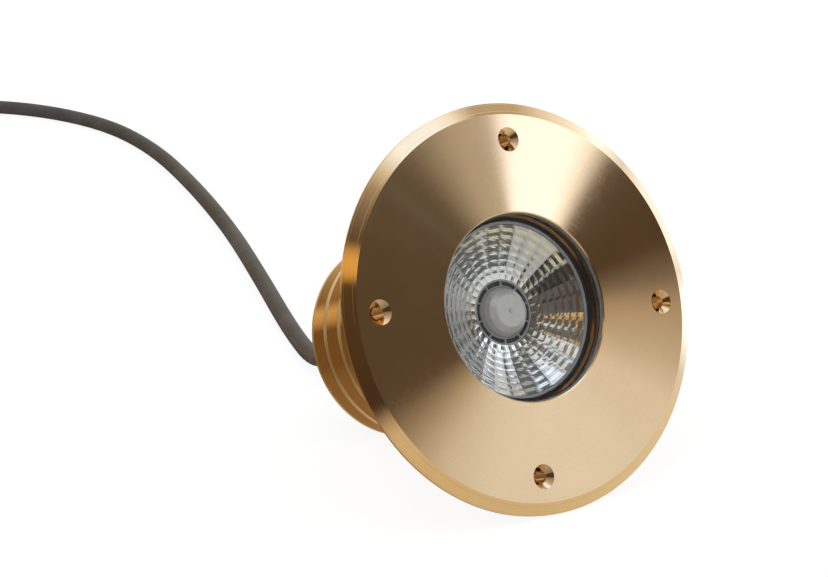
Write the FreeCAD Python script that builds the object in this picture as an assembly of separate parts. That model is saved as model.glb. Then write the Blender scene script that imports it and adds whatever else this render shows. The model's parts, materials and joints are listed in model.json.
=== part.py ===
"""Underwater pond light: a turned bronze flange and barrel round a sealed 50 mm lamp, on a rubber cable.

The pieces are drawn about the light's own axis: +Z points out through the glass, Z = 0 is the front face.
seated() then lays them down as the light rests on a surface: on the flange's lower rim and on the
lower edge of the barrel's rear wall, with the glass looking towards -Y and up.
"""
import FreeCAD
import Part
import math
import os

from FreeCAD import Placement, Rotation, Vector

os.makedirs("parts", exist_ok=True)

# ---- driving dimensions, millimetres ---------------------------------------------------------
FLANGE_R = 57.5             # flange, outside
FLANGE_THICK = 7.0          # in the middle, round the barrel and the holes
LIP_THICK = 2.6             # at the rim
LIP_WIDE = 5.0
BEVEL_WIDE = 3.47           # bevel round the front face, across the face
BEVEL_DEEP = 1.87           # and down the rim
HOLE_PCD_R = 46.9           # fixing holes, for 3.5 mm countersunk screws
HOLE_COUNT = 4
HOLE_FIRST_DEG = 81.4
HOLE_R = 1.8
SINK_R = 3.45

GLASS_LAP = 0.9             # glass outside the lamp's rim
GLASS_THICK = 6.0
GLASS_RECESS = 1.2          # glass below the front face
BEAD_WIDE = 0.26            # sealant between the glass and its bore
BEAD_LAP = 0.12             # sealant over the edge of the glass
BEAD_BELOW = 0.6            # its top below the front face
BEAD_INTO = 0.8             # how far it runs down beside the glass

BARREL_WALL = 1.64          # round the spigot, where it is thinnest
BARREL_LONG = 62.4          # from the flange's back to the rear face
BARREL_SEAT = 0.4           # recess in the flange's back that the barrel's end lies in
REAR_WALL = 4.0
REAR_ROUND = 1.2
GROOVE_DEEP = 1.0
GROOVE_PITCH = 8.0
GROOVE_COUNT = 5
REAR_LAND = 8.6             # rear face to the middle of the first groove

SPIGOT_LONG = 7.0           # flange spigot inside the barrel
SPIGOT_WALL = 1.0           # round the glass, where it is thinnest
SPIGOT_CLEAR = 0.2
O_RING_THICK = 1.4

LAMP_R = 25.2               # lamp, at its rim
LAMP_CLEAR = 0.5            # lamp rim to the bore round it
LAMP_LIP = 1.5              # heat sink's front lip, which the retaining ring holds
CLIP_THICK = 1.1            # retaining ring
CLIP_WIDE = 2.6
CLIP_BITE = 0.6             # how far it springs into its groove
GASKET_THICK = 1.0
GASKET_LAP = 0.35           # gasket over the lamp's rim
RIM_WIDE = 1.1              # clear rim of the lamp
RIM_THICK = 1.5
FACET_SECTORS = 30
FACET_RINGS = 8
DISH_INNER_R = 9.3
DISH_SINK = 0.4             # dish's outer edge below the lamp's front
DISH_DEEP = 4.9
DISH_WALL = 0.8
NECK_LONG = 1.2             # from the dish's inner edge back to the LED board
CAP_R = 7.2
CAP_TOP_R = 4.5
CAP_SINK = 1.5              # cap's flat end below the lamp's front
CAP_DOME = 3.8
CAP_WALL = 1.0
NIB_R = 0.7
SPOKE_COUNT = 10
SPOKE_WIDE = 0.3
BOARD_THICK = 1.2
CHIP_SIDE = 2.0
CHIP_THICK = 0.8
SINK_BACK_R = 9.5           # heat sink, at its back
SINK_CORE_R = 8.0
SINK_LONG = 24.0
FIN_COUNT = 20
FIN_THICK = 1.0
BASE_LONG = 8.0             # lamp's plastic base
BASE_WIDE = 15.0
BASE_DEEP = 9.0
PIN_R = 0.75
PIN_PITCH = 5.33
PIN_LONG = 7.5
HOLDER_LONG = 9.0
HOLDER_WIDE = 18.0
HOLDER_DEEP = 10.0
CONTACT_R = 1.6
LEAD_R = 0.9
TERMINAL_WIDE = 15.0        # terminal block beside the lamp holder
TERMINAL_DEEP = 9.0
TERMINAL_LONG = 12.0
TERMINAL_POLE = 3.5         # each pole from its middle
TERMINAL_SCREW_R = 1.5
TERMINAL_SCREW_IN = 3.0     # each screw from its end of the block

GLAND_R = 8.0               # gland thread
GLAND_HEX = 20.0            # across flats
GLAND_FLANGE = 5.0
GLAND_NECK = 6.0
SEAL_R = 6.0
SEAL_LONG = 11.5
WASHER_THICK = 1.0
NUT_HEX_LONG = 9.0
NUT_DOME_LONG = 6.6
LOCK_NUT_LONG = 4.0

CABLE_R = 2.9
CABLE_INSIDE = 2.0          # sheath inside the barrel, past the lock nut
COIL_TURN_R = 31.0          # coil, at the middle of its turns
COIL_WIDE = 4.2             # coil's width and height, in cable diameters
COIL_HIGH = 4.0
COIL_ROUND = 2.0
CORE_R = 1.15
CORE_APART = 1.3
STRIPPED_LONG = 20.0
FERRULE_LONG = 8.0

FIT = 0.02                  # hairline between faces that are bonded or threaded together
CLEAR = 0.3                 # loose fit

# ---- where the pieces meet on the light's axis -------------------------------------------------
GLASS_FRONT = -GLASS_RECESS
GLASS_BACK = GLASS_FRONT - GLASS_THICK
LAMP_FRONT = GLASS_BACK - GASKET_THICK
FLANGE_BACK = -FLANGE_THICK
BARREL_FRONT = FLANGE_BACK + BARREL_SEAT
SPIGOT_END = FLANGE_BACK - SPIGOT_LONG
REAR_FACE = FLANGE_BACK - BARREL_LONG
REAR_INSIDE = REAR_FACE + REAR_WALL
LAMP_BORE_R = LAMP_R + LAMP_CLEAR
GLASS_R = LAMP_R + GLASS_LAP
GLASS_BORE_R = GLASS_R + BEAD_WIDE
SPIGOT_R = GLASS_BORE_R + SPIGOT_WALL
SPIGOT_BORE_R = SPIGOT_R + SPIGOT_CLEAR
BARREL_R = SPIGOT_BORE_R + BARREL_WALL
DISH_R = LAMP_R - RIM_WIDE - 0.1
DISH_TOP = LAMP_FRONT - DISH_SINK
DISH_BOTTOM = DISH_TOP - DISH_DEEP
BOARD_TOP = DISH_BOTTOM - NECK_LONG
BOARD_BACK = BOARD_TOP - BOARD_THICK
SINK_FRONT = LAMP_FRONT - RIM_THICK
CLIP_FRONT = SINK_FRONT - LAMP_LIP - FIT
CLIP_BACK = CLIP_FRONT - CLIP_THICK
SINK_BACK = SINK_FRONT - SINK_LONG
BASE_BACK = SINK_BACK - BASE_LONG
HOLDER_FRONT = BASE_BACK - CLEAR
HOLDER_BACK = HOLDER_FRONT - HOLDER_LONG
WASHER_BACK = REAR_FACE - WASHER_THICK
GLAND_HEX_BACK = WASHER_BACK - GLAND_FLANGE
GLAND_END = GLAND_HEX_BACK - GLAND_NECK
NUT_FRONT = GLAND_HEX_BACK - CLEAR
NUT_HEX_BACK = NUT_FRONT - NUT_HEX_LONG
CABLE_EXIT = NUT_HEX_BACK - NUT_DOME_LONG
LOCK_NUT_FRONT = REAR_INSIDE + LOCK_NUT_LONG
CABLE_END = LOCK_NUT_FRONT + CABLE_INSIDE
NUT_END_R = CABLE_R + 2.4
TERMINAL_OFF = (math.sqrt((LAMP_BORE_R - CLEAR) ** 2 - (TERMINAL_WIDE / 2) ** 2)
                - TERMINAL_DEEP / 2)
TERMINAL_FRONT = HOLDER_FRONT + 2.0
TERMINAL_BACK = TERMINAL_FRONT - TERMINAL_LONG
SCREW_FLOOR = TERMINAL_OFF + 0.6
SEAL_FRONT = GLAND_HEX_BACK - 1.0
SEAL_BACK = SEAL_FRONT - SEAL_LONG

# ---- how the light lies ------------------------------------------------------------------------
# The flange rests on its lip's back edge and the barrel on the rounding of its rear edge.
REST_UP = FLANGE_R - (BARREL_R - REAR_ROUND)
REST_LONG = -REAR_FACE - LIP_THICK - REAR_ROUND
TILT = math.atan2(REST_UP, REST_LONG) - math.asin(REAR_ROUND / math.hypot(REST_UP, REST_LONG))
FACE_HIGH = FLANGE_R * math.cos(TILT) + LIP_THICK * math.sin(TILT)
FRONT_REACH = -(FLANGE_R * math.sin(TILT)) + BEVEL_DEEP * math.cos(TILT)
BACK_REACH = max(-CABLE_EXIT * math.cos(TILT) + NUT_END_R * math.sin(TILT),
                 LIP_THICK * math.cos(TILT) + FLANGE_R * math.sin(TILT))
FACE_Y = -(FRONT_REACH + BACK_REACH) / 2
SEAT = Placement(Vector(0, FACE_Y, FACE_HIGH), Rotation(Vector(1, 0, 0), 90 - math.degrees(TILT)))


def seated(shape):
    """Lay a piece down from the light's own axis into the part's frame."""
    laid = shape.copy()
    laid.Placement = SEAT.multiply(laid.Placement)
    return laid


def save(name, *shapes):
    """Write the separate solids of one node."""
    solids = [solid for shape in shapes for solid in shape.Solids]
    for solid in solids:
        assert solid.isValid() and solid.Volume > 0, name
    Part.makeCompound(solids).exportStep(f"parts/{name}.step")


def turned(*outline):
    """Solid of revolution about the light's axis, from (radius, z) corners."""
    corners = [Vector(r, 0, z) for r, z in outline]
    face = Part.Face(Part.makePolygon(corners + corners[:1]))
    return face.revolve(Vector(0, 0, 0), Vector(0, 0, 1), 360)


def ring(inner, outer, top, bottom):
    return turned((inner, top), (outer, top), (outer, bottom), (inner, bottom))


def rod(radius, top, bottom, x=0.0, y=0.0):
    return Part.makeCylinder(radius, top - bottom, Vector(x, y, bottom))


def block(wide, deep, top, bottom, x=0.0, y=0.0):
    return Part.makeBox(wide, deep, top - bottom, Vector(x - wide / 2, y - deep / 2, bottom))


def hexagon(flats, top, bottom):
    """Hexagonal bar with its corners turned off at the front end."""
    corner = flats / math.sqrt(3)
    points = [Vector(corner * math.cos(k * math.pi / 3), corner * math.sin(k * math.pi / 3), bottom)
              for k in range(7)]
    bar = Part.Face(Part.makePolygon(points)).extrude(Vector(0, 0, top - bottom))
    step = (corner - flats / 2) * 0.8
    return bar.common(turned((0, top), (flats / 2, top), (corner + FIT, top - step),
                             (corner + FIT, bottom), (0, bottom)))


def round_about(shape, count, first_deg=0.0):
    """Copies of a shape spaced evenly round the light's axis."""
    copies = []
    for k in range(count):
        copy = shape.copy()
        copy.rotate(Vector(0, 0, 0), Vector(0, 0, 1), first_deg + 360 * k / count)
        copies.append(copy)
    return copies


def bent_path(points):
    """Straight runs joined by tangent arcs, each as large as its two runs allow."""
    edges = []
    radii = []
    start = points[0]
    for before, corner, after in zip(points, points[1:], points[2:]):
        back = before - corner
        ahead = after - corner
        turn = math.pi - back.getAngle(ahead)
        reach = 0.45 * min(back.Length, ahead.Length)
        radius = reach / math.tan(turn / 2)
        arc_in = corner + back.normalize() * reach
        arc_out = corner + ahead.normalize() * reach
        middle = (back + ahead).normalize()
        crown = corner + middle * (radius / math.cos(turn / 2) - radius)
        edges.append(Part.LineSegment(start, arc_in).toShape())
        edges.append(Part.Arc(arc_in, crown, arc_out).toShape())
        radii.append(radius)
        start = arc_out
    edges.append(Part.LineSegment(start, points[-1]).toShape())
    return Part.Wire(edges), radii


def tube(points, radius, name):
    """Round cord along a bent path; prints its arcs' radii and how its volume compares."""
    path, radii = bent_path(points)
    heading = points[1] - points[0]
    section = Part.Wire(Part.makeCircle(radius, points[0], heading))
    cord = path.makePipeShell([section], True, False)
    due = math.pi * radius ** 2 * path.Length
    print(f"{name}: length {path.Length:.1f}, volume ratio {cord.Volume / due:.4f},",
          "radii", [round(r) for r in radii])
    return cord


# ---- flange, glass and their seals -------------------------------------------------------------
def face_flange():
    """Bevelled disc, thinner at its lip, with a stepped bore for the glass and a spigot behind it."""
    edge = 0.3
    boss_r = FLANGE_R - LIP_WIDE
    disc = turned((GLASS_BORE_R + edge, 0), (FLANGE_R - BEVEL_WIDE, 0), (FLANGE_R, -BEVEL_DEEP),
                  (FLANGE_R, -LIP_THICK), (boss_r, -LIP_THICK), (boss_r, FLANGE_BACK + 0.5),
                  (boss_r - 0.5, FLANGE_BACK), (BARREL_R + FIT, FLANGE_BACK),
                  (BARREL_R + FIT, BARREL_FRONT), (SPIGOT_R, BARREL_FRONT), (SPIGOT_R, SPIGOT_END),
                  (LAMP_BORE_R, SPIGOT_END), (LAMP_BORE_R, GLASS_BACK), (GLASS_BORE_R, GLASS_BACK),
                  (GLASS_BORE_R, -edge))
    groove = ring(LAMP_BORE_R - FIT, LAMP_BORE_R + CLIP_BITE, CLIP_FRONT + FIT, CLIP_BACK - FIT)
    sink_deep = SINK_R - HOLE_R
    hole = turned((0, FIT), (SINK_R, FIT), (SINK_R, 0), (HOLE_R, -sink_deep),
                  (HOLE_R, FLANGE_BACK - 1), (0, FLANGE_BACK - 1))
    hole.translate(Vector(HOLE_PCD_R, 0, 0))
    return disc.cut([groove] + round_about(hole, HOLE_COUNT, HOLE_FIRST_DEG))


save("face_flange", seated(face_flange()))

save("front_glass", seated(rod(GLASS_R, GLASS_FRONT, GLASS_BACK)))

save("glass_sealant_bead", seated(turned(
    (GLASS_R - BEAD_LAP, GLASS_FRONT), (GLASS_BORE_R - FIT, -BEAD_BELOW),
    (GLASS_BORE_R - FIT, GLASS_FRONT - BEAD_INTO), (GLASS_R + FIT, GLASS_FRONT - BEAD_INTO),
    (GLASS_R + FIT, GLASS_FRONT))))

save("lamp_gasket", seated(ring(LAMP_R - GASKET_LAP, LAMP_BORE_R - 0.1, GLASS_BACK, LAMP_FRONT)))


# ---- barrel ------------------------------------------------------------------------------------
def housing_body():
    """Barrel with V-grooves round it, counterbored for the spigot, with a wall at the rear."""
    step = SPIGOT_END - O_RING_THICK
    barrel = turned((SPIGOT_BORE_R, BARREL_FRONT), (BARREL_R, BARREL_FRONT), (BARREL_R, REAR_FACE),
                    (GLAND_R + FIT, REAR_FACE), (GLAND_R + FIT, REAR_INSIDE),
                    (LAMP_BORE_R, REAR_INSIDE), (LAMP_BORE_R, step), (SPIGOT_BORE_R, step))
    rear_edge = [edge for edge in barrel.Edges if edge.BoundBox.ZMax < REAR_FACE + FIT
                 and abs(edge.BoundBox.XMax - BARREL_R) < FIT]
    barrel = barrel.makeFillet(REAR_ROUND, rear_edge)
    grooves = []
    for k in range(GROOVE_COUNT):
        middle = REAR_FACE + REAR_LAND + k * GROOVE_PITCH
        grooves.append(turned((BARREL_R - GROOVE_DEEP, middle),
                              (BARREL_R + GROOVE_DEEP, middle + 2 * GROOVE_DEEP),
                              (BARREL_R + GROOVE_DEEP, middle - 2 * GROOVE_DEEP)))
    return barrel.cut(grooves)


save("housing_body", seated(housing_body()))

o_ring_r = (LAMP_BORE_R + SPIGOT_BORE_R) / 2
save("body_o_ring", seated(Part.makeTorus(o_ring_r, O_RING_THICK / 2 - FIT / 2,
                                          Vector(0, 0, SPIGOT_END - O_RING_THICK / 2))))


# ---- lamp --------------------------------------------------------------------------------------
def retaining_ring():
    """Sprung ring with a gap, in its groove behind the lamp."""
    whole = ring(LAMP_BORE_R - CLIP_WIDE, LAMP_BORE_R + CLIP_BITE - 0.1, CLIP_FRONT, CLIP_BACK)
    gap = block(12, 20, CLIP_FRONT + 1, CLIP_BACK - 1, 0, -LAMP_BORE_R)
    return whole.cut(gap)


def dish_depth(radius):
    """Depth of the dish below its outer edge: steep at the rim, flatter towards the middle."""
    share = (radius - DISH_INNER_R) / (DISH_R - DISH_INNER_R)
    return DISH_TOP - DISH_DEEP * (1 - share ** 1.5)


def dish_front():
    """Corners of the facets on the dish's section, from its neck to its rim."""
    step = (DISH_R - DISH_INNER_R) / FACET_RINGS
    return [(DISH_INNER_R + step * k, dish_depth(DISH_INNER_R + step * k)) for k in range(FACET_RINGS + 1)]


def lamp_reflector():
    """Faceted dish: flat facets in rings and sectors, with a back that follows its front."""
    sector = 2 * math.pi / FACET_SECTORS
    front = dish_front()
    back = [(r, z - DISH_WALL) for r, z in reversed(front[1:-1])]
    outline = front + [(DISH_R, SINK_FRONT), (DISH_R - 1.05, SINK_FRONT)] + back
    outline.append((DISH_INNER_R, BOARD_TOP))
    faces = []
    for (r0, z0), (r1, z1) in zip(outline, outline[1:] + outline[:1]):
        for k in range(FACET_SECTORS):
            a0 = k * sector
            a1 = a0 + sector
            corners = [Vector(r0 * math.cos(a0), r0 * math.sin(a0), z0),
                       Vector(r1 * math.cos(a0), r1 * math.sin(a0), z1),
                       Vector(r1 * math.cos(a1), r1 * math.sin(a1), z1),
                       Vector(r0 * math.cos(a1), r0 * math.sin(a1), z0)]
            faces.append(Part.Face(Part.makePolygon(corners + corners[:1])))
    shell = Part.makeShell(faces)
    shell.sewShape()
    solid = Part.makeSolid(shell)
    if solid.Volume < 0:
        solid.reverse()
    return solid


def spoke_ring():
    """Thin double ring joined by short spokes, in the neck of the dish."""
    top = DISH_BOTTOM
    bottom = top - 0.8
    outer = ring(DISH_INNER_R - 0.5, DISH_INNER_R - 0.15, top, bottom)
    inner = ring(CAP_R + 0.1, CAP_R + 0.35, top, bottom)
    reach = DISH_INNER_R - 0.3 - (CAP_R + 0.2)
    spoke = block(reach, SPOKE_WIDE, top, bottom, (DISH_INNER_R - 0.3 + CAP_R + 0.2) / 2)
    return outer.fuse([inner] + round_about(spoke, SPOKE_COUNT, 8))


def centre_cap():
    """Frosted cap over the LEDs: a hollow dome with a flat end and a small nib on it."""
    top = LAMP_FRONT - CAP_SINK
    drum = top - CAP_DOME
    return turned((0, top + 0.35), (NIB_R - 0.2, top + 0.35), (NIB_R, top), (CAP_TOP_R, top),
                  (CAP_TOP_R + 0.35, top - 0.25), (CAP_R - 1.0, top - 0.4 * CAP_DOME),
                  (CAP_R - 0.25, top - 0.75 * CAP_DOME), (CAP_R, drum), (CAP_R, BOARD_TOP),
                  (CAP_R - CAP_WALL, BOARD_TOP), (CAP_R - CAP_WALL, drum),
                  (CAP_TOP_R - 0.2, top - CAP_WALL), (0, top - CAP_WALL))


def heat_sink():
    """Finned heat sink: a lipped front plate, a core and straight fins that taper to the back."""
    pocket_r = DISH_INNER_R + 0.4
    lip_back = SINK_FRONT - LAMP_LIP
    deep = BOARD_BACK - 1.5
    body_r = LAMP_BORE_R - CLIP_WIDE - CLEAR
    pocket = [(r, z - DISH_WALL - CLEAR) for r, z in dish_front()[1:-1]]
    core = turned((0, BOARD_BACK), (pocket_r, BOARD_BACK), *pocket,
                  (DISH_R - 1.0, SINK_FRONT), (LAMP_R, SINK_FRONT), (LAMP_R, lip_back),
                  (body_r, lip_back), (body_r, deep), (SINK_CORE_R, deep),
                  (SINK_CORE_R, SINK_BACK), (0, SINK_BACK))
    envelope = turned((0, deep + 0.5), (body_r, deep + 0.5), (SINK_BACK_R, SINK_BACK), (0, SINK_BACK))
    fin = block(body_r, FIN_THICK, deep + 0.5, SINK_BACK, body_r / 2).common(envelope)
    return core.fuse(round_about(fin, FIN_COUNT))


save("lamp_retaining_ring", seated(retaining_ring()))
save("lamp_front_rim", seated(ring(LAMP_R - RIM_WIDE, LAMP_R, LAMP_FRONT, SINK_FRONT)))
save("lamp_reflector", seated(lamp_reflector()))
save("lamp_spoke_ring", seated(spoke_ring()))
save("lamp_centre_cap", seated(centre_cap()))
save("lamp_heat_sink", seated(heat_sink()))
save("led_board", seated(rod(DISH_INNER_R, BOARD_TOP, BOARD_BACK)))
chip = block(CHIP_SIDE, CHIP_SIDE, BOARD_TOP + CHIP_THICK, BOARD_TOP, 2.6)
save("led_chips", *[seated(copy) for copy in round_about(chip, 4, 45)])


# ---- lamp's base, its holder and the wiring in the barrel --------------------------------------
def lamp_base():
    """Plastic base under the heat sink, hollow for the driver board, with holes for the pins."""
    base = block(BASE_WIDE, BASE_DEEP, SINK_BACK, BASE_BACK)
    hollow = block(BASE_WIDE - 3, BASE_DEEP - 3, SINK_BACK + 1, BASE_BACK + 2)
    return base.cut([hollow] + pin_rods(PIN_R + FIT, SINK_BACK, BASE_BACK - 1))


def pin_rods(radius, top, bottom):
    return [rod(radius, top, bottom, side * PIN_PITCH / 2) for side in (-1, 1)]


def lamp_holder():
    """Ceramic holder with a socket for each pin and a wire way out of its side."""
    holder = block(HOLDER_WIDE, HOLDER_DEEP, HOLDER_FRONT, HOLDER_BACK)
    sockets = pin_rods(CONTACT_R + FIT, HOLDER_FRONT + 1, HOLDER_BACK + 1.0)
    return holder.cut(sockets)


def contacts():
    """Brass sleeves that grip the pins."""
    sleeves = []
    for side in (-1, 1):
        sleeve = rod(CONTACT_R, HOLDER_FRONT - 0.5, HOLDER_BACK + 1.0, side * PIN_PITCH / 2)
        bore = rod(PIN_R + FIT, HOLDER_FRONT, HOLDER_BACK + 1.5, side * PIN_PITCH / 2)
        sleeves.append(sleeve.cut(bore))
    return sleeves


def lead(side):
    """From the holder's side, forward and over into the terminal block's front end."""
    x = side * TERMINAL_POLE
    step = HOLDER_DEEP / 2 + 4.5
    start = HOLDER_FRONT - 4.0
    crest = TERMINAL_FRONT + 3.5
    route = [Vector(x, HOLDER_DEEP / 2, start), Vector(x, step, start), Vector(x, step, crest),
             Vector(x, TERMINAL_OFF, crest), Vector(x, TERMINAL_OFF, TERMINAL_FRONT)]
    return tube(route, LEAD_R, "holder lead")


def core(side):
    """From the cable's end, across and forward into the terminal block's back end."""
    x0 = side * CORE_APART
    x1 = side * TERMINAL_POLE
    across = (CABLE_END + TERMINAL_BACK) / 2 + 0.4
    route = [Vector(x0, 0, CABLE_END), Vector(x0, 0, across), Vector(x1, TERMINAL_OFF, across),
             Vector(x1, TERMINAL_OFF, TERMINAL_BACK)]
    return tube(route, CORE_R, "cable core")


def terminal_screws():
    """Two slotted clamping screws a pole, let into the block from outside."""
    screws = []
    for side in (-1, 1):
        for z in (TERMINAL_FRONT - TERMINAL_SCREW_IN, TERMINAL_BACK + TERMINAL_SCREW_IN):
            screw = Part.makeCylinder(TERMINAL_SCREW_R, 3.0, Vector(side * TERMINAL_POLE, SCREW_FLOOR, z),
                                      Vector(0, 1, 0))
            slot = Part.makeBox(4, 0.8, 0.5, Vector(side * TERMINAL_POLE - 2, SCREW_FLOOR + 2.2, z - 0.25))
            screws.append(screw.cut(slot))
    return screws


def terminal_block():
    """Two-pole block with a well over each screw."""
    body = Part.makeBox(TERMINAL_WIDE, TERMINAL_DEEP, TERMINAL_LONG,
                        Vector(-TERMINAL_WIDE / 2, TERMINAL_OFF - TERMINAL_DEEP / 2, TERMINAL_BACK))
    wells = [Part.makeCylinder(TERMINAL_SCREW_R + FIT, TERMINAL_DEEP,
                               Vector(side * TERMINAL_POLE, SCREW_FLOOR, z), Vector(0, 1, 0))
             for side in (-1, 1)
             for z in (TERMINAL_FRONT - TERMINAL_SCREW_IN, TERMINAL_BACK + TERMINAL_SCREW_IN)]
    return body.cut(wells)


board_top = SINK_BACK - 0.5
save("lamp_base", seated(lamp_base()))
save("lamp_driver_board", seated(block(BASE_WIDE - 4, 1.2, board_top, BASE_BACK + 2, 0, 1.9)))
save("lamp_pins", *[seated(pin) for pin in pin_rods(PIN_R, BASE_BACK + 3, BASE_BACK - PIN_LONG)])
save("lamp_holder", seated(lamp_holder()))
save("holder_contacts", *[seated(sleeve) for sleeve in contacts()])
save("holder_leads", seated(lead(-1)), seated(lead(1)))
save("terminal_block", seated(terminal_block()))
save("terminal_screws", *[seated(screw) for screw in terminal_screws()])
save("cable_core_live", seated(core(1)))
save("cable_core_neutral", seated(core(-1)))


# ---- cable gland -------------------------------------------------------------------------------
def gland_body():
    """Threaded body: through the rear wall, with a hexagon outside and a neck for the dome nut."""
    hexagon_part = hexagon(GLAND_HEX, GLAND_HEX_BACK, WASHER_BACK)
    stem = rod(GLAND_R, LOCK_NUT_FRONT + 1.0, GLAND_END)
    bore = rod(CABLE_R + CLEAR, LOCK_NUT_FRONT + 2.0, GLAND_END - 1)
    chamber = rod(SEAL_R + FIT, SEAL_FRONT, GLAND_END - 1)
    return hexagon_part.fuse(stem).cut([bore, chamber])


def gland_nut():
    """Dome nut: a hexagon, then a dome down to the cable."""
    dome = turned((0, NUT_HEX_BACK), (GLAND_HEX / 2, NUT_HEX_BACK),
                  (GLAND_HEX / 2 - 1.2, NUT_HEX_BACK - NUT_DOME_LONG / 2),
                  (NUT_END_R + 1.6, CABLE_EXIT + 0.8), (NUT_END_R, CABLE_EXIT), (0, CABLE_EXIT))
    nut = hexagon(GLAND_HEX, NUT_FRONT, NUT_HEX_BACK).fuse(dome)
    thread = rod(GLAND_R + FIT, NUT_FRONT + 1, GLAND_END - CLEAR)
    chamber = rod(SEAL_R + FIT, GLAND_END, SEAL_BACK)
    bore = rod(CABLE_R + CLEAR, SEAL_BACK + 1, CABLE_EXIT - 1)
    return nut.cut([thread, chamber, bore])


lock_nut = hexagon(GLAND_HEX + 2, LOCK_NUT_FRONT, REAR_INSIDE)
save("gland_washer", seated(ring(GLAND_R + FIT, GLAND_HEX / 2, REAR_FACE, WASHER_BACK)))
save("gland_body", seated(gland_body()))
save("gland_lock_nut", seated(lock_nut.cut(rod(GLAND_R + FIT, LOCK_NUT_FRONT + 1, REAR_INSIDE - 1))))
save("gland_seal", seated(ring(CABLE_R + FIT, SEAL_R, SEAL_FRONT, SEAL_BACK)))
save("gland_nut", seated(gland_nut()))

# ---- cable: through the gland, along the surface, a coil and its stripped end --------------------
save("cable_entry", seated(rod(CABLE_R, CABLE_END, CABLE_EXIT)))

FLOOR = CABLE_R             # height of the cable's middle where it lies on the surface
exit_point = SEAT.multVec(Vector(0, 0, CABLE_EXIT))
exit_heading = SEAT.Rotation.multVec(Vector(0, 0, -1))
DROP_LONG = 17.7            # straight out of the gland before the cable begins to level out
# The cable's route from below the gland's mouth, to the right and back.
ROUTE = [(5.2, 34.1), (15.4, 65.0), (36.4, 118.0), (58.4, 176.0), (78.0, 238.0), (93.5, 299.0),
         (97.0, 350.0), (82.0, 395.0), (53.0, 421.0), (23.0, 436.0)]
run = [exit_point, exit_point + exit_heading * DROP_LONG]
run += [Vector(exit_point.x + x, exit_point.y + y, FLOOR) for x, y in ROUTE]
save("cable_run", tube(run, CABLE_R, "cable run"))

cable_d = 2 * CABLE_R
coil_outer = COIL_TURN_R + COIL_WIDE * cable_d / 2
coil_inner = COIL_TURN_R - COIL_WIDE * cable_d / 2
outer_turn = coil_outer - CABLE_R
heading = run[-1] - run[-2]
heading.normalize()
coil_middle = run[-1] + Vector(-heading.y, heading.x, 0) * outer_turn
coil_middle.z = 0
coil = ring(coil_inner, coil_outer, COIL_HIGH * cable_d, 0)
coil = coil.makeFillet(COIL_ROUND, [edge for edge in coil.Edges if len(edge.Vertexes) == 1
                                    and abs(edge.BoundBox.ZLength) < 0.1])
coil.translate(coil_middle)
save("cable_coil", coil)

top_turn = COIL_HIGH * cable_d - CABLE_R
tail = [coil_middle + Vector(x, y, z) for x, y, z in
        [(-outer_turn, 0, top_turn), (-outer_turn - 1.7, -23.0, 15.0),
         (-outer_turn - 6.0, -52.0, FLOOR), (-outer_turn - 11.0, -82.0, FLOOR)]]
save("cable_tail", tube(tail, CABLE_R, "cable tail"))

end_heading = tail[-1] - tail[-2]
end_heading.normalize()
aside = Vector(-end_heading.y, end_heading.x, 0) * CORE_APART
cores = []
ferrules = []
for side in (-1, 1):
    foot = tail[-1] + aside * side
    cores.append(Part.makeCylinder(CORE_R, STRIPPED_LONG, foot, end_heading))
    ferrules.append(Part.makeCylinder(CORE_R - 0.25, FERRULE_LONG,
                                      foot + end_heading * STRIPPED_LONG, end_heading))
save("tail_cores", *cores)
save("tail_ferrules", *ferrules)
print("exit", exit_point, "coil middle", coil_middle, "tilt", round(math.degrees(TILT), 2))
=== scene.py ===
"""Underwater pond light on a pale studio floor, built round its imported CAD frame."""

import json
import math

import bpy
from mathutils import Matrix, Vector


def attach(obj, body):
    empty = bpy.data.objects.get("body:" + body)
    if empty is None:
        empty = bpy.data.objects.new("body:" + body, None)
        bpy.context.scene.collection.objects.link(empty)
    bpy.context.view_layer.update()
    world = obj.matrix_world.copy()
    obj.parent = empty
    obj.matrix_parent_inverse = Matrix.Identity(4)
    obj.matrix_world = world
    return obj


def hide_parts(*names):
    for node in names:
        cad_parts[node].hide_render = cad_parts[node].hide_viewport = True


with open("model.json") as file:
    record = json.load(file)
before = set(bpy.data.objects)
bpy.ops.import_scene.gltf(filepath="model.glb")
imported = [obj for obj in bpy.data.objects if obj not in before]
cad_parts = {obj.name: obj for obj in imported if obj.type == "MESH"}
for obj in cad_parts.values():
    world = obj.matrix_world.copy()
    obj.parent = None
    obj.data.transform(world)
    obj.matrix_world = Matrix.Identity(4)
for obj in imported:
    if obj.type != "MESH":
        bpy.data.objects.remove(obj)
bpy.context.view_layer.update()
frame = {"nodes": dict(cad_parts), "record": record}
nodes = frame["nodes"]
scene = bpy.context.scene
scene.view_settings.view_transform = "Standard"

# ---- camera -------------------------------------------------------------------------------------
# A long lens at table height, to the left of the light's own axis and a little above it, so that
# the face turns to the right and the barrel shows past the flange's left edge.
CAMERA_AT = Vector((-0.39103, -0.54250, 0.26625))
CAMERA_HEADING = math.radians(34.728)       # from +Y towards +X
CAMERA_DOWN = math.radians(17.883)

camera = bpy.data.objects.new("camera", bpy.data.cameras.new("camera"))
camera.data.sensor_width = 36.0
camera.data.lens = 106.786
camera.data.clip_start = 0.02
camera.location = CAMERA_AT
camera.rotation_euler = (math.pi / 2 - CAMERA_DOWN, 0, -CAMERA_HEADING)
scene.collection.objects.link(camera)
scene.camera = camera

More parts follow.
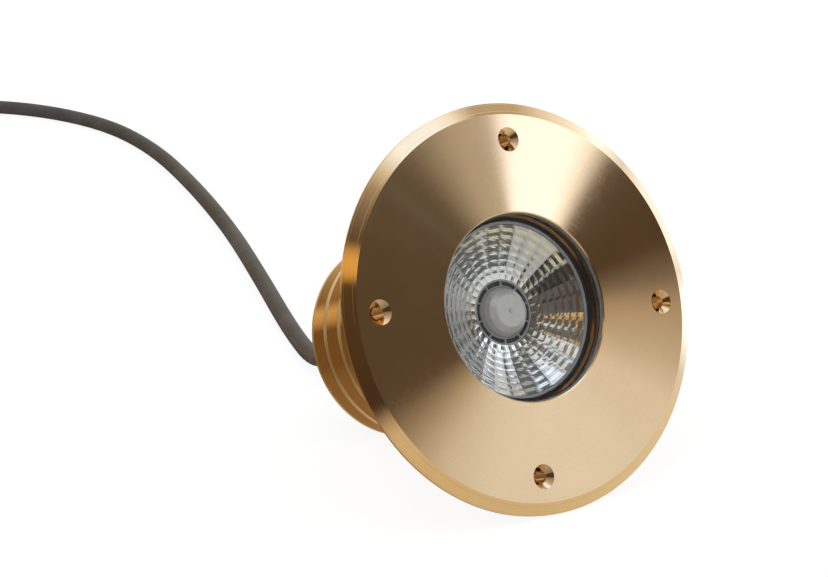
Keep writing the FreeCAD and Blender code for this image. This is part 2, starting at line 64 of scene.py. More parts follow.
# ---- studio -------------------------------------------------------------------------------------
# A white table in a white room. Polished metal sees the room as cards and windows placed round it;
# everything else sees even white light. One soft lamp overhead gives the cable and the table form.
FLANGE_THICK = 0.007                        # from the fixing holes' mount to the front face
record = frame["record"]
rim_mount = [mount for mount in record["mounts"] if mount["name"] == "fixing_holes"][0]
INTO_LIGHT = Vector(rim_mount["axis"])
AXIS = -INTO_LIGHT                          # out through the glass
FACE_MIDDLE = Vector(rim_mount["pos_m"]) - INTO_LIGHT * FLANGE_THICK
RIGHT = Vector((1.0, 0.0, 0.0))
UPWARDS = AXIS.cross(RIGHT)
TO_VIEWER = (CAMERA_AT - FACE_MIDDLE).normalized()
CARD_SCALE = 2.5                            # brightest card, as a multiple of plain white

# Each ring of cards is what surfaces tipped so far from the light's axis see: the angle round the
# axis that they tip towards, in degrees, and the card's tone.
FACE_CARDS = [(0, (0.25, 0.21, 0.17)), (12, (0.10, 0.07, 0.04)), (40, (0.12, 0.09, 0.06)),
              (45, (0.16, 0.12, 0.08)), (52, (1.4, 1.45, 1.5)), (58, (1.8, 2.0, 2.4)),
              (83, (1.8, 2.0, 2.4)), (89, (0.64, 0.62, 0.56)), (102, (0.60, 0.57, 0.50)),
              (118, (0.19, 0.165, 0.13)), (124, (0.14, 0.115, 0.085)), (129, (0.18, 0.16, 0.13)),
              (134, (0.13, 0.10, 0.075)), (141, (0.15, 0.12, 0.09)), (147, (0.13, 0.10, 0.07)),
              (202, (0.12, 0.09, 0.06)), (213, (0.46, 0.40, 0.30)), (227, (0.84, 0.84, 0.80)),
              (240, (1.0, 1.03, 1.03)), (250, (1.06, 1.1, 1.12)), (280, (1.06, 1.1, 1.12)),
              (300, (1.0, 1.03, 1.02)), (315, (1.0, 1.0, 0.98)), (330, (0.74, 0.71, 0.61)),
              (350, (0.54, 0.46, 0.36)), (360, (0.25, 0.21, 0.17))]
DISH_CARDS = [(0, (0.48, 0.48, 0.47)), (14, (0.44, 0.44, 0.43)), (17, (0.12, 0.12, 0.12)),
              (22, (0.46, 0.46, 0.45)), (50, (0.45, 0.45, 0.44)), (62, (1.1, 1.1, 1.1)),
              (80, (0.80, 0.80, 0.80)), (84, (0.10, 0.10, 0.095)), (108, (0.14, 0.14, 0.135)),
              (112, (1.3, 1.3, 1.3)), (121, (1.0, 1.0, 1.0)), (124, (0.20, 0.19, 0.185)),
              (131, (0.24, 0.23, 0.22)), (134, (1.2, 1.2, 1.2)), (144, (1.0, 1.0, 1.0)),
              (148, (0.14, 0.13, 0.12)), (156, (0.15, 0.13, 0.12)), (158, (1.4, 0.92, 0.48)),
              (160, (0.9, 0.54, 0.24)), (162, (0.15, 0.13, 0.12)), (189, (0.16, 0.14, 0.13)),
              (192, (0.018, 0.016, 0.014)), (213, (0.018, 0.016, 0.014)), (216, (0.62, 0.62, 0.59)),
              (250, (0.60, 0.60, 0.57)), (256, (0.12, 0.115, 0.11)), (280, (0.16, 0.155, 0.15)),
              (284, (0.70, 0.70, 0.69)), (289, (0.13, 0.13, 0.13)), (312, (0.15, 0.15, 0.145)),
              (322, (0.50, 0.50, 0.49)), (360, (0.48, 0.48, 0.47))]
BEVEL_CARDS = [(0, (1.15, 1.15, 1.1)), (8, (1.5, 1.6, 1.65)), (28, (1.5, 1.6, 1.65)),
               (39, (1.1, 1.1, 1.05)), (50, (1.8, 2.1, 2.4)),
               (58, (1.5, 1.6, 1.6)), (70, (1.15, 1.12, 1.0)), (78, (0.66, 0.56, 0.38)),
               (92, (0.56, 0.50, 0.38)), (100, (1.3, 1.4, 1.5)), (106, (1.4, 1.7, 2.2)),
               (120, (1.4, 1.7, 2.1)), (128, (0.90, 0.88, 0.76)), (134, (0.46, 0.38, 0.27)),
               (142, (0.26, 0.205, 0.14)), (151, (0.12, 0.085, 0.045)), (153, (0.70, 0.42, 0.14)),
               (156, (1.05, 0.64, 0.16)), (160, (1.0, 0.58, 0.14)), (163, (0.12, 0.07, 0.03)),
               (199, (0.08, 0.05, 0.03)), (204, (0.62, 0.50, 0.34)), (208, (0.86, 0.74, 0.50)),
               (225, (0.88, 0.76, 0.50)), (270, (0.92, 0.84, 0.60)),
               (290, (0.98, 0.90, 0.68)), (318, (1.0, 0.96, 0.78)), (328, (1.0, 0.98, 0.88)),
               (340, (1.6, 1.8, 2.1)), (353, (1.6, 1.8, 2.1)), (360, (1.15, 1.15, 1.1))]
SINK_CARDS = [(0, (0.62, 0.55, 0.42)), (55, (0.66, 0.58, 0.45)), (85, (1.25, 1.2, 1.1)),
              (125, (1.15, 1.1, 1.0)), (150, (0.62, 0.56, 0.44)), (172, (0.30, 0.26, 0.19)),
              (176, (0.09, 0.06, 0.035)), (196, (0.09, 0.06, 0.035)), (200, (0.34, 0.29, 0.20)),
              (240, (0.62, 0.54, 0.42)), (300, (0.72, 0.66, 0.52)), (360, (0.62, 0.55, 0.42))]
SIDE_CARDS = [(0, (0.8, 0.8, 0.8)), (60, (0.8, 0.8, 0.8)), (95, (1.0, 0.85, 0.6)),
              (120, (0.75, 0.58, 0.34)), (140, (0.45, 0.32, 0.19)), (151, (0.35, 0.22, 0.11)),
              (157, (0.95, 0.66, 0.34)), (162, (0.75, 0.50, 0.24)), (167, (0.24, 0.14, 0.06)),
              (187, (0.24, 0.14, 0.06)), (195, (0.32, 0.20, 0.09)), (235, (0.42, 0.28, 0.15)),
              (250, (0.30, 0.19, 0.09)),
              (268, (0.9, 0.9, 0.88)), (345, (0.9, 0.9, 0.88)), (360, (0.8, 0.8, 0.8))]


class Reading:
    """A number on a node's socket; arithmetic on it adds Math nodes."""

    def __init__(self, wiring, socket):
        self.wiring = wiring
        self.socket = socket

    def __add__(self, other):
        return self.wiring.maths("ADD", self, other)

    def __sub__(self, other):
        return self.wiring.maths("SUBTRACT", self, other)

    def __rsub__(self, other):
        return self.wiring.maths("SUBTRACT", other, self)

    def __mul__(self, other):
        return self.wiring.maths("MULTIPLY", self, other)

    def __truediv__(self, other):
        return self.wiring.maths("DIVIDE", self, other)

    def __pow__(self, other):
        return self.wiring.maths("POWER", self, other)

    __radd__ = __add__
    __rmul__ = __mul__


class Wiring:
    """The node tree of the room or of a finish."""

    def __init__(self, tree):
        self.tree = tree

    def add(self, kind, settings=None, sockets=None):
        """A node of one type, its settings first, then its sockets' values or links."""
        node = self.tree.nodes.new(kind)
        for name, value in (settings or {}).items():
            if name == "stops":
                self.set_stops(node.color_ramp, value)
            else:
                setattr(node, name, value)
        for name, value in (sockets or {}).items():
            self.feed(node.inputs[name], value)
        return node

    def maths(self, operation, *values):
        node = self.add("ShaderNodeMath", {"operation": operation}, dict(enumerate(values)))
        return Reading(self, node.outputs[0])

    def set_stops(self, ramp, stops):
        while len(ramp.elements) > 1:
            ramp.elements.remove(ramp.elements[-1])
        for place, colour in stops:
            stop = ramp.elements[0] if place == stops[0][0] else ramp.elements.new(place)
            stop.position = place
            stop.color = (*colour, 1.0)

    def feed(self, socket, value):
        if isinstance(value, Reading):
            self.tree.links.new(value.socket, socket)
        elif isinstance(value, bpy.types.NodeSocket):
            self.tree.links.new(value, socket)
        elif socket.type == "RGBA":
            socket.default_value = (*value, 1.0)
        else:
            socket.default_value = value

    def vector(self, operation, *values):
        node = self.add("ShaderNodeVectorMath", {"operation": operation}, dict(enumerate(values)))
        return node.outputs["Vector"]

    def dot(self, first, second):
        node = self.add("ShaderNodeVectorMath", {"operation": "DOT_PRODUCT"}, {0: first, 1: second})
        return Reading(self, node.outputs["Value"])

    def between(self, value, low, high, out_low=0.0, out_high=1.0):
        """Value carried smoothly from one range to another, held at the ends."""
        node = self.add("ShaderNodeMapRange", {"interpolation_type": "SMOOTHSTEP"},
                        {"Value": value, "From Min": low, "From Max": high,
                         "To Min": out_low, "To Max": out_high})
        return Reading(self, node.outputs["Result"])

    def blend(self, share, first, second):
        """Two colours mixed by a share."""
        node = self.add("ShaderNodeMix", {"data_type": "RGBA"}, {0: share, 6: first, 7: second})
        return node.outputs[2]


room = bpy.data.worlds.new("room")
scene.world = room
room.use_nodes = True
room.node_tree.nodes.clear()
room.cycles.sampling_method = "NONE"
walls = Wiring(room.node_tree)
heading = walls.add("ShaderNodeTexCoord").outputs["Generated"]
facing = walls.vector("NORMALIZE", walls.vector("ADD", heading, TO_VIEWER))
lean = walls.dot(facing, AXIS)
turn = walls.maths("ARCTAN2", walls.dot(facing, UPWARDS), walls.dot(facing, RIGHT))
turn = walls.maths("FRACT", turn / (2 * math.pi))


def cards(stops):
    """Tones round the light's axis."""
    stops = [(degrees / 360, tuple(c / CARD_SCALE for c in tone)) for degrees, tone in stops]
    return walls.add("ShaderNodeValToRGB", {"stops": stops}, {"Fac": turn}).outputs["Color"]


def within(degrees, blur):
    """1 inside a cone round the light's axis, 0 outside it."""
    outside, inside = (math.cos(math.radians(degrees + side * blur)) for side in (1, -1))
    return walls.between(lean, outside, inside)


# How far a surface is tipped from the light's axis decides which ring of cards it sees: the flat
# faces least, then the dish, the bevel, the countersinks, and the barrel's side most. Each row is
# a ring's outer edge and its blur, in degrees. What faces straight along the axis sees one tone.
RINGS = [(58, 3, SINK_CARDS), (39, 1, BEVEL_CARDS), (25, 1, DISH_CARDS), (13, 1, FACE_CARDS)]
STRAIGHT_TONE = 0.25
tone = cards(SIDE_CARDS)
for edge, blur, stops in RINGS:
    tone = walls.blend(within(edge, blur), tone, cards(stops))
tone = walls.blend(within(1.8, 0.4), tone, (STRAIGHT_TONE / CARD_SCALE,) * 3)
path = walls.add("ShaderNodeLightPath").outputs
polished = walls.maths("MAXIMUM", path["Is Glossy Ray"], path["Is Transmission Ray"])
polished = polished * (1 - walls.maths("MINIMUM", path["Diffuse Depth"], 1.0))
plain = walls.add("ShaderNodeBackground", None, {"Color": (1.0, 1.0, 1.0), "Strength": 1.0})
carded = walls.add("ShaderNodeBackground", None, {"Color": tone, "Strength": CARD_SCALE})
seen = walls.add("ShaderNodeMixShader", None, {0: polished, 1: plain.outputs[0],
                                               2: carded.outputs[0]})
walls.add("ShaderNodeOutputWorld", None, {"Surface": seen.outputs[0]})

table_mesh = bpy.data.meshes.new("table_top")
table_mesh.from_pydata([(-6, -6, 0), (6, -6, 0), (6, 6, 0), (-6, 6, 0)], [], [(0, 1, 2, 3)])
table_top = bpy.data.objects.new("table_top", table_mesh)
table_top.visible_glossy = False
table_top.visible_transmission = False
scene.collection.objects.link(table_top)
white_table = bpy.data.materials.new("white_table")
white_table.use_nodes = True
white_table.node_tree.nodes.clear()
paint = Wiring(white_table.node_tree)
SEEN_GLOW = 0.85                            # share of the table's own light where it is looked at
looked_at = Reading(paint, paint.add("ShaderNodeLightPath").outputs["Is Camera Ray"]) * SEEN_GLOW
matt = paint.add("ShaderNodeBsdfDiffuse", None, {"Color": (0.92, 0.92, 0.92)})
glow = paint.add("ShaderNodeEmission", None, {"Color": (1.0, 1.0, 1.0), "Strength": 1.03})
surface = paint.add("ShaderNodeMixShader", None, {0: looked_at, 1: matt.outputs[0],
                                                  2: glow.outputs[0]})
paint.add("ShaderNodeOutputMaterial", None, {"Surface": surface.outputs[0]})
table_mesh.materials.append(white_table)

overhead = bpy.data.objects.new("overhead_lamp", bpy.data.lights.new("overhead_lamp", "AREA"))
overhead.data.shape = "DISK"
overhead.data.size = 0.7
overhead.data.energy = 2.0
overhead.location = (-0.45, -0.25, 1.1)
downwards = Vector((0.0, 0.1, 0.0)) - overhead.location
overhead.rotation_euler = downwards.to_track_quat("-Z", "Y").to_euler()
overhead.visible_glossy = False
scene.collection.objects.link(overhead)

# ---- flange -------------------------------------------------------------------------------------
# Cast bronze, faced off in a lathe: fine rings of tool marks run round the face and the bevel, so
# its highlights are wedges. Four countersunk holes take the fixing screws.
BRONZE = (0.73, 0.54, 0.345)


class Finish(Wiring):
    """A material with one Principled shader."""

    def __init__(self, name, roughness=0.5, metallic=0.0, colour=(0.8, 0.8, 0.8), **constants):
        self.material = bpy.data.materials.new(name)
        self.material.use_nodes = True
        super().__init__(self.material.node_tree)
        self.shader = self.tree.nodes["Principled BSDF"]
        self.body("Base Color", colour)
        self.body("Roughness", roughness)
        self.body("Metallic", metallic)
        for socket, value in constants.items():
            self.body(socket.replace("_", " "), value)
        self.place = self.add("ShaderNodeTexCoord").outputs["Object"]

    def body(self, socket, value):
        self.feed(self.shader.inputs[socket], value)

    def noise(self, scale, detail=2.0, at=None, dimensions="3D"):
        """Noise at so many blobs a metre, from 0 to 1."""
        place = {"W": at} if dimensions == "1D" else {"Vector": self.place if at is None else at}
        node = self.add("ShaderNodeTexNoise", {"noise_dimensions": dimensions},
                        {**place, "Scale": scale, "Detail": detail, "Roughness": 0.55})
        return Reading(self, node.outputs["Fac"])

    def bump(self, height, deep):
        """Raises the surface by a height from 0 to 1, so many metres deep."""
        node = self.add("ShaderNodeBump", None, {"Height": height, "Distance": deep,
                                                 "Strength": 1.0})
        self.body("Normal", node.outputs["Normal"])


def wear(node_name, finish):
    """Gives a CAD piece its finish."""
    piece = nodes[node_name]
    for slot in piece.material_slots:
        slot.material = finish.material


def turned_bronze(name, colour, lean, spread, dark):
    """Bronze from the lathe. The tool marks tip the surface across themselves by a mean lean."""
    bronze = Finish(name, metallic=1.0)
    offset = bronze.vector("SUBTRACT", bronze.place, FACE_MIDDLE)
    depth = bronze.dot(offset, AXIS)
    round_axis = bronze.vector("CROSS_PRODUCT", AXIS, offset)
    reach = bronze.add("ShaderNodeVectorMath", {"operation": "LENGTH"}, {0: round_axis})
    along = Reading(bronze, reach.outputs["Value"]) + depth
    normal = bronze.add("ShaderNodeNewGeometry").outputs["Normal"]
    across = bronze.vector("CROSS_PRODUCT", bronze.vector("NORMALIZE", round_axis), normal)
    fine = bronze.noise(17000, 0.0, along, "1D") - 0.5
    rings = bronze.noise(900, 2.0, along, "1D") - 0.5
    slope = lean + fine * spread + rings * 0.006
    tip = bronze.add("ShaderNodeVectorMath", {"operation": "SCALE"}, {0: across, "Scale": slope})
    tipped = bronze.vector("NORMALIZE", bronze.vector("ADD", normal, tip.outputs["Vector"]))
    bronze.tipped = tipped
    bronze.body("Normal", tipped)
    cloud = bronze.noise(45, 3.0) + bronze.noise(2600, 1.0) * 0.5 - 0.25
    shade = bronze.between(cloud + rings * 0.12, 0.25, 0.75)
    bronze.reach = Reading(bronze, reach.outputs["Value"])
    bronze.depth = depth
    bronze.metal = bronze.blend(shade, tuple(c * dark for c in colour), colour)
    bronze.sheen = 0.05 + bronze.noise(900, 2.0) * 0.06
    bronze.body("Base Color", bronze.metal)
    bronze.body("Roughness", bronze.sheen)
    return bronze


wear("face_flange", turned_bronze("faced_bronze", BRONZE, 0.105, 0.18, 0.93))

# ---- barrel -------------------------------------------------------------------------------------
# Turned from the same bronze, with V-grooves round it. Its lands' base colour is bronze, painted a
# deeper orange than the face's as painted reflection of the bronze round them. The grooves and a
# band round the rear edge are rougher, and are painted paler as painted highlights.
# Known fault: the band's tip reaches the rear wall too, turns its normal inwards and blackens it.
LAND_R = 0.02917                            # the barrel's radius between grooves, nearly
REAR_EDGE = -0.0673                         # where the band starts, along the axis
EDGE_TIP = 1.2                              # share of the axis added to the band's normal
BAND_ROUGHER = 0.4
# Base colour is the bronze, made a deeper orange than the face's as painted reflection of the
# bronze round the barrel.
grooved = turned_bronze("grooved_bronze", (0.72, 0.47, 0.20), 0.0, 0.2, 0.8)
in_groove = grooved.between(grooved.reach, LAND_R - 0.0001, LAND_R, 1.0, 0.0)
on_edge = grooved.between(grooved.depth, REAR_EDGE - 0.0002, REAR_EDGE, 1.0, 0.0)
painted_highlight_band = grooved.maths("MAXIMUM", in_groove, on_edge)
# Painted highlight: the grooves and the rear edge band are painted pale tan, standing in for the
# light lines that their walls catch; they are also rougher.
grooved.body("Base Color", grooved.blend(painted_highlight_band, grooved.metal, (0.88, 0.68, 0.42)))
grooved.body("Roughness", grooved.sheen + painted_highlight_band * BAND_ROUGHER)
broken = grooved.add("ShaderNodeVectorMath", {"operation": "SCALE"},
                     {0: AXIS, "Scale": on_edge * EDGE_TIP})
grooved.body("Normal", grooved.vector("NORMALIZE", grooved.vector("ADD", grooved.tipped,
                                                                  broken.outputs["Vector"])))
wear("housing_body", grooved)

# ---- glass and its sealant ----------------------------------------------------------------------
# Clear toughened glass, flat and polished on both faces, bedded in grey silicone. Its edge is
# ground and wetted by the silicone, so the bore shows through it.
clear_glass = Finish("clear_glass", colour=(1.0, 1.0, 1.0), roughness=0.0, IOR=1.45,
                     Transmission_Weight=1.0)
ground_edge = clear_glass.dot(clear_glass.add("ShaderNodeNewGeometry").outputs["Normal"], AXIS)
ground_edge = clear_glass.maths("ABSOLUTE", ground_edge)
through = clear_glass.add("ShaderNodeBsdfTransparent", None, {"Color": (0.6, 0.58, 0.55)})
either = clear_glass.add("ShaderNodeMixShader", None,
                         {0: clear_glass.between(ground_edge, 0.4, 0.6), 1: through.outputs[0],
                          2: clear_glass.shader.outputs[0]})
clear_glass.feed(clear_glass.tree.nodes["Material Output"].inputs["Surface"], either.outputs[0])
wear("front_glass", clear_glass)

silicone = Finish("grey_silicone", roughness=0.4)
smear = silicone.noise(700, 3.0)
silicone.body("Base Color", silicone.blend(smear, (0.07, 0.072, 0.076), (0.15, 0.152, 0.16)))
silicone.bump(smear, 0.0001)
wear("glass_sealant_bead", silicone)


def rubber(name, colour, pale, roughness, grain=900):
    """Matt moulded rubber with a dusty bloom and a fine grain."""
    finish = Finish(name)
    bloom = finish.noise(60, 4.0)
    skin = finish.noise(grain, 2.0)
    finish.body("Base Color", finish.blend(finish.between(bloom, 0.3, 0.75), colour, pale))
    finish.body("Roughness", roughness + skin * 0.15)
    finish.bump(skin, 0.00006)
    return finish


black_rubber = rubber("black_rubber", (0.012, 0.012, 0.012), (0.03, 0.029, 0.028), 0.5)
wear("lamp_gasket", black_rubber)
wear("body_o_ring", black_rubber)
wear("gland_washer", black_rubber)
wear("gland_seal", black_rubber)

# ---- lamp: rim, faceted dish and centre cap -----------------------------------------------------
# A 50 mm reflector lamp. Its dish is vacuum-coated plastic, moulded as rings of small pillows that
# break the light up; a frosted cap stands over the LEDs in its neck.
DISH_SECTORS = 30
DISH_RINGS = 8
DISH_INNER_R = 0.0093
DISH_OUTER_R = 0.0240
DISH_TOP = -0.0086
DISH_DEEP = 0.0049
DISH_WALL = 0.0008
PILLOW_STEPS = 4                            # mesh faces across a pillow
PILLOW_HIGH = 0.00013
SEAT_TURN = math.pi / 2 - math.asin(AXIS.z)


def plastic(name, dark, light, roughness, **constants):
    """Moulded plastic or ceramic: a slight mottle and a fine eggshell."""
    finish = Finish(name, **constants)
    mottle = finish.noise(120, 4.0)
    skin = finish.noise(1200, 2.0)
    finish.body("Base Color", finish.blend(mottle, dark, light))
    finish.body("Roughness", roughness + skin * 0.12)
    finish.bump(skin, 0.00002)
    return finish


def plain_metal(name, dark, light, roughness, grain=1500, deep=0.00003):
    """Plated, drawn or cast metal with a slight grain."""
    finish = Finish(name, metallic=1.0)
    mottle = finish.noise(200, 4.0)
    skin = finish.noise(grain, 3.0)
    finish.body("Base Color", finish.blend(mottle, dark, light))
    finish.body("Roughness", roughness + skin * 0.16)
    finish.bump(skin, deep)
    return finish


class Recipe(Wiring):
    """A Geometry Nodes tree with named inputs."""

    def __init__(self, name, inputs):
        super().__init__(bpy.data.node_groups.new(name, "GeometryNodeTree"))
        self.tree.interface.new_socket("Geometry", in_out="OUTPUT",
                                       socket_type="NodeSocketGeometry")
        self.values = {}
        for title, value in inputs.items():
            kind = "NodeSocketInt" if isinstance(value, int) else "NodeSocketFloat"
            socket = self.tree.interface.new_socket(title, in_out="INPUT", socket_type=kind)
            self.values[socket.identifier] = value
        sockets = self.add("NodeGroupInput").outputs
        self.given = {title: Reading(self, sockets[title]) for title in inputs}

    def make(self, name, geometry):
        """Runs the tree on an empty mesh and returns the result as a plain mesh object."""
        self.add("NodeGroupOutput", None, {0: geometry})
        holder = bpy.data.objects.new(name + "_holder", bpy.data.meshes.new(name + "_holder"))
        scene.collection.objects.link(holder)
        modifier = holder.modifiers.new("recipe", "NODES")
        modifier.node_group = self.tree
        for identifier, value in self.values.items():
            modifier[identifier] = value
        graph = bpy.context.evaluated_depsgraph_get()
        mesh = bpy.data.meshes.new_from_object(holder.evaluated_get(graph))
        mesh.name = name
        bpy.data.objects.remove(holder)
        piece = bpy.data.objects.new(name, mesh)
        scene.collection.objects.link(piece)
        return piece


silver = Finish("silvered_dish", metallic=1.0)
haze = silver.noise(260, 3.0)
silver.body("Base Color", silver.blend(haze, (0.56, 0.57, 0.56), (0.68, 0.69, 0.67)))
silver.body("Roughness", 0.03 + haze * 0.04)
silver.bump(silver.noise(2500, 1.0), 0.000004)

dish_recipe = Recipe("faceted_dish", {
    "Sectors": DISH_SECTORS, "Rings": DISH_RINGS, "Inner radius": DISH_INNER_R,
    "Outer radius": DISH_OUTER_R, "Depth": DISH_DEEP, "Wall": DISH_WALL,
    "Pillow height": PILLOW_HIGH})
given = dish_recipe.given
rows = given["Rings"] * PILLOW_STEPS        # mesh rows from the neck to the rim
loop = rows * 2 + 2                         # rows once round the dish's section
across_count = given["Sectors"] * PILLOW_STEPS + 1
grid = dish_recipe.add("GeometryNodeMeshGrid", None, {"Size X": 1.0, "Size Y": 1.0,
                                                     "Vertices X": across_count,
                                                     "Vertices Y": loop + 1})
spot = dish_recipe.add("ShaderNodeSeparateXYZ", None,
                       {0: dish_recipe.add("GeometryNodeInputPosition").outputs[0]})
share_round = Reading(dish_recipe, spot.outputs["X"]) + 0.5
row = (Reading(dish_recipe, spot.outputs["Y"]) + 0.5) * loop
row = dish_recipe.maths("MODULO", dish_recipe.maths("ROUND", row), loop)
front = dish_recipe.maths("LESS_THAN", row, rows + 0.5)
share_out = front * (row / rows) + (1 - front) * ((loop - 1 - row) / rows)
step_round = share_round * given["Sectors"]
step_out = share_out * given["Rings"]
step_round = dish_recipe.maths("FRACT", step_round + 0.0001)
step_out = dish_recipe.maths("FRACT", step_out + 0.0001)
pillow = step_round * (1 - step_round) * step_out * (1 - step_out) * 16 * front
radius = given["Inner radius"] + (given["Outer radius"] - given["Inner radius"]) * share_out
height = (DISH_TOP - given["Depth"] * (1 - share_out ** 1.5) - given["Wall"] * (1 - front)
          + pillow * given["Pillow height"] * (0.45 + 0.55 * share_out))
angle = share_round * (2 * math.pi)
point = dish_recipe.add("ShaderNodeCombineXYZ", None,
                        {"X": radius * dish_recipe.maths("COSINE", angle),
                         "Y": radius * dish_recipe.maths("SINE", angle), "Z": height})
bent = dish_recipe.add("GeometryNodeSetPosition", None, {"Geometry": grid.outputs["Mesh"],
                                                        "Position": point.outputs[0]})
closed = dish_recipe.add("GeometryNodeMergeByDistance", None, {"Geometry": bent.outputs[0],
                                                              "Distance": 0.000004})
seated = dish_recipe.add("GeometryNodeTransform", None,
                         {"Geometry": closed.outputs[0], "Translation": FACE_MIDDLE,
                          "Rotation": (SEAT_TURN, 0.0, 0.0)})
real = dish_recipe.add("GeometryNodeRealizeInstances", None, {"Geometry": seated.outputs[0]})
silvered = dish_recipe.add("GeometryNodeSetMaterial", None, {"Geometry": real.outputs[0],
                                                            "Material": silver.material})
dish = dish_recipe.make("faceted_dish", silvered.outputs[0])
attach(dish, "root")
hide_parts("lamp_reflector")

lens_clear = plastic("clear_rim", (0.36, 0.37, 0.37), (0.52, 0.53, 0.52), 0.1, IOR=1.5)
wear("lamp_front_rim", lens_clear)
wear("lamp_spoke_ring", lens_clear)

frost = Finish("frosted_cap", IOR=1.5, Coat_Weight=1.0, Coat_Roughness=0.05)
bloom = frost.noise(500, 4.0)
# Painted light and shade: faces that look out along the light's axis are painted paler, and the
# cap's sides darker.
end_face = frost.dot(frost.add("ShaderNodeNewGeometry").outputs["Normal"], AXIS)
end_face = frost.between(end_face, 0.5, 0.95)
lit_end_tone = frost.blend(bloom, (0.62, 0.62, 0.58), (0.78, 0.78, 0.74))
shaded_side_tone = frost.blend(bloom, (0.38, 0.38, 0.37), (0.60, 0.60, 0.58))
frost.body("Base Color", frost.blend(end_face, shaded_side_tone, lit_end_tone))
frost.body("Roughness", 0.22 + bloom * 0.2)
frost.bump(frost.noise(3000, 2.0), 0.00004)
wear("lamp_centre_cap", frost)

# ---- lamp: LEDs, heat sink and the ring that holds it -------------------------------------------
# Four yellow phosphor chips on a dark board, in a cast aluminium heat sink. A sprung steel ring
# in the flange's bore keeps the lamp against its gasket.
board = plastic("dark_board", (0.030, 0.028, 0.026), (0.055, 0.05, 0.048), 0.35)
phosphor = plastic("led_phosphor", (0.80, 0.60, 0.12), (0.92, 0.74, 0.22), 0.25)
cast = plain_metal("cast_aluminium", (0.46, 0.46, 0.47), (0.62, 0.62, 0.62), 0.36, 700, 0.0001)
spring = plain_metal("spring_steel", (0.45, 0.45, 0.46), (0.58, 0.58, 0.58), 0.22)
wear("led_board", board)
wear("lamp_driver_board", board)
wear("led_chips", phosphor)
wear("lamp_heat_sink", cast)
wear("lamp_retaining_ring", spring)

# ---- lamp's base, holder and wiring -------------------------------------------------------------
# A black plastic base with two nickel pins in a white ceramic holder with brass sockets; two
# silicone-covered leads go on to a screw terminal block, where the cable's cores end.
wear("lamp_base", plastic("black_plastic", (0.018, 0.018, 0.018), (0.035, 0.035, 0.035), 0.35))
nickel = plain_metal("nickel", (0.60, 0.58, 0.54), (0.74, 0.72, 0.68), 0.2)
wear("lamp_pins", nickel)
wear("terminal_screws", nickel)
wear("tail_ferrules", nickel)
wear("lamp_holder", plastic("white_ceramic", (0.78, 0.76, 0.70), (0.88, 0.87, 0.83), 0.3))
wear("holder_contacts", plain_metal("socket_brass", (0.62, 0.47, 0.20), (0.76, 0.60, 0.28), 0.25))
wear("holder_leads", rubber("clear_silicone", (0.62, 0.62, 0.60), (0.78, 0.78, 0.76), 0.35))
wear("terminal_block", plastic("white_plastic", (0.74, 0.74, 0.72), (0.86, 0.86, 0.84), 0.3))
BROWN = (0.16, 0.075, 0.035), (0.25, 0.12, 0.055)
BLUE = (0.03, 0.11, 0.34), (0.06, 0.18, 0.48)
brown_core = plastic("brown_core", *BROWN, 0.35)
blue_core = plastic("blue_core", *BLUE, 0.35)
wear("cable_core_live", brown_core)
wear("cable_core_neutral", blue_core)

# ---- cable gland --------------------------------------------------------------------------------
# Plated brass: a body through the barrel's rear wall with a lock nut inside, and a dome nut that
# squeezes a rubber seal on to the cable.
gland_brass = plain_metal("gland_brass", (0.52, 0.40, 0.20), (0.68, 0.54, 0.30), 0.24)
wear("gland_body", gland_brass)
wear("gland_lock_nut", gland_brass)
wear("gland_nut", gland_brass)

# ---- cable --------------------------------------------------------------------------------------
# Round two-core rubber cable. It drops out of the gland, runs back along the surface and is wound
# into a neat coil of four layers; the loose end lies beside the coil with its two cores bared, one
# brown and one blue.
CABLE_D = 0.0058
GLAND_MOUTH = (0.0, 0.05139, 0.01780)
RUN = [GLAND_MOUTH, (0.0, 0.06765, 0.01081), (0.0052, 0.08549, 0.0029), (0.0154, 0.11639, 0.0029),
       (0.0364, 0.16939, 0.0029), (0.0584, 0.22739, 0.0029), (0.0780, 0.28939, 0.0029),
       (0.0935, 0.35039, 0.0029), (0.0970, 0.40139, 0.0029), (0.0820, 0.44639, 0.0029),
       (0.0530, 0.47239, 0.0029), (0.0230, 0.48739, 0.0029)]
COIL_MIDDLE = Vector((0.00499, 0.45136, 0.0))
COIL_LAYERS = 4
COIL_OUTER_TURN = 0.0403
COIL_INNER_TURN = 0.0217
COIL_POINTS = 16                            # control points a turn
COIL_TURNS = 12                             # whole turns, and a part of one to where it starts
CLIMB_SHARE = 0.06                          # last part of a layer, where the cable climbs
COIL_START = math.radians(70.5)
COIL_END = math.radians(180.0) + COIL_TURNS * 2 * math.pi
TAIL = [(-0.03611, 0.43036, 0.0150), (-0.04129, 0.39936, 0.0029), (-0.04629, 0.36936, 0.0029)]


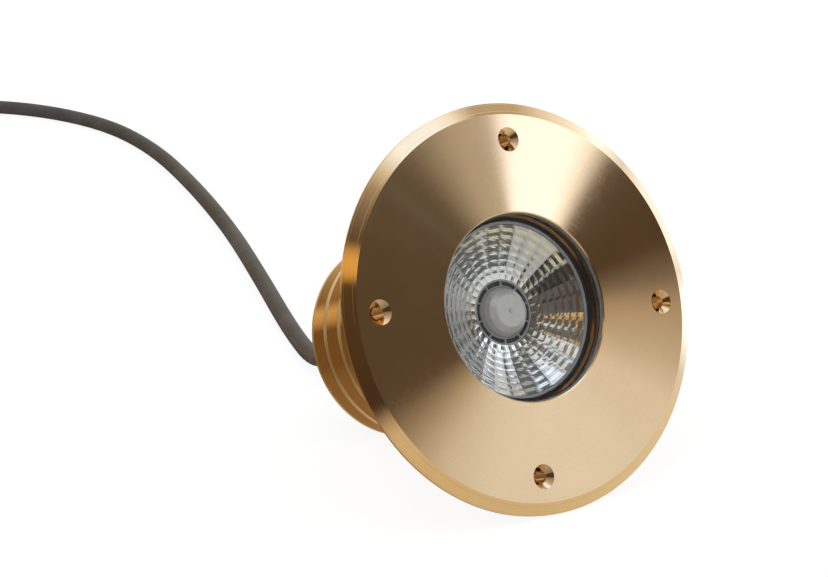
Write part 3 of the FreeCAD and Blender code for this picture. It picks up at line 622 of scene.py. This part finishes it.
def coil_points():
    """Control points of the coil: each layer winds in or out, and the next one lies on it."""
    swell = 1 / (0.5 + 0.5 * math.cos(math.pi / COIL_POINTS))
    turns = (COIL_END - COIL_START) / (2 * math.pi)
    count = round(turns * COIL_POINTS)
    points = []
    for k in range(1, count):
        at = k / count * COIL_LAYERS
        layer = min(int(at), COIL_LAYERS - 1)
        share = at - layer
        inwards = share if layer % 2 == 0 else 1 - share
        radius = (COIL_OUTER_TURN + (COIL_INNER_TURN - COIL_OUTER_TURN) * inwards) * swell
        climb = min(max((share - 1 + CLIMB_SHARE) / CLIMB_SHARE, 0.0), 1.0)
        if layer == COIL_LAYERS - 1:
            climb = 0.0
        angle = COIL_START + (COIL_END - COIL_START) * k / count
        height = CABLE_D * (0.5 + layer + climb)
        turned = Vector((radius * math.cos(angle), radius * math.sin(angle), height))
        points.append(COIL_MIDDLE + turned)
    return points


cable_rubber = rubber("cable_rubber", (0.045, 0.042, 0.041), (0.072, 0.067, 0.065), 0.5, 1300)
wear("cable_entry", cable_rubber)

cable_curve = bpy.data.curves.new("cable", "CURVE")
cable_curve.dimensions = "3D"
cable_curve.bevel_depth = CABLE_D / 2
cable_curve.bevel_resolution = 8
cable_curve.resolution_u = 6
cable_curve.use_fill_caps = True
route = [Vector(p) for p in RUN] + coil_points() + [Vector(p) for p in TAIL]
spline = cable_curve.splines.new("NURBS")
spline.points.add(len(route) - 1)
for point, place in zip(spline.points, route):
    point.co = (*place, 1.0)
spline.order_u = 3
spline.use_endpoint_u = True
cable_curve.materials.append(cable_rubber.material)
cable = bpy.data.objects.new("cable", cable_curve)
scene.collection.objects.link(cable)
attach(cable, "root")
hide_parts("cable_run", "cable_coil", "cable_tail")

# The bared cores are one CAD piece, so its finish is brown on one side of the cable and blue on the
# other.
cores = Finish("bared_cores", roughness=0.35)
loose_end = Vector(TAIL[-1])
end_heading = (loose_end - Vector(TAIL[-2])).normalized()
along_end = cores.vector("SUBTRACT", cores.place, loose_end)
beside = cores.dot(along_end, (-end_heading.y, end_heading.x, 0.0))
which = cores.maths("GREATER_THAN", beside, 0.0)
mottle = cores.noise(120, 4.0)
brown, blue = cores.blend(mottle, *BROWN), cores.blend(mottle, *BLUE)
cores.body("Base Color", cores.blend(which, brown, blue))
cores.bump(cores.noise(1200, 2.0), 0.00002)
wear("tail_cores", cores)
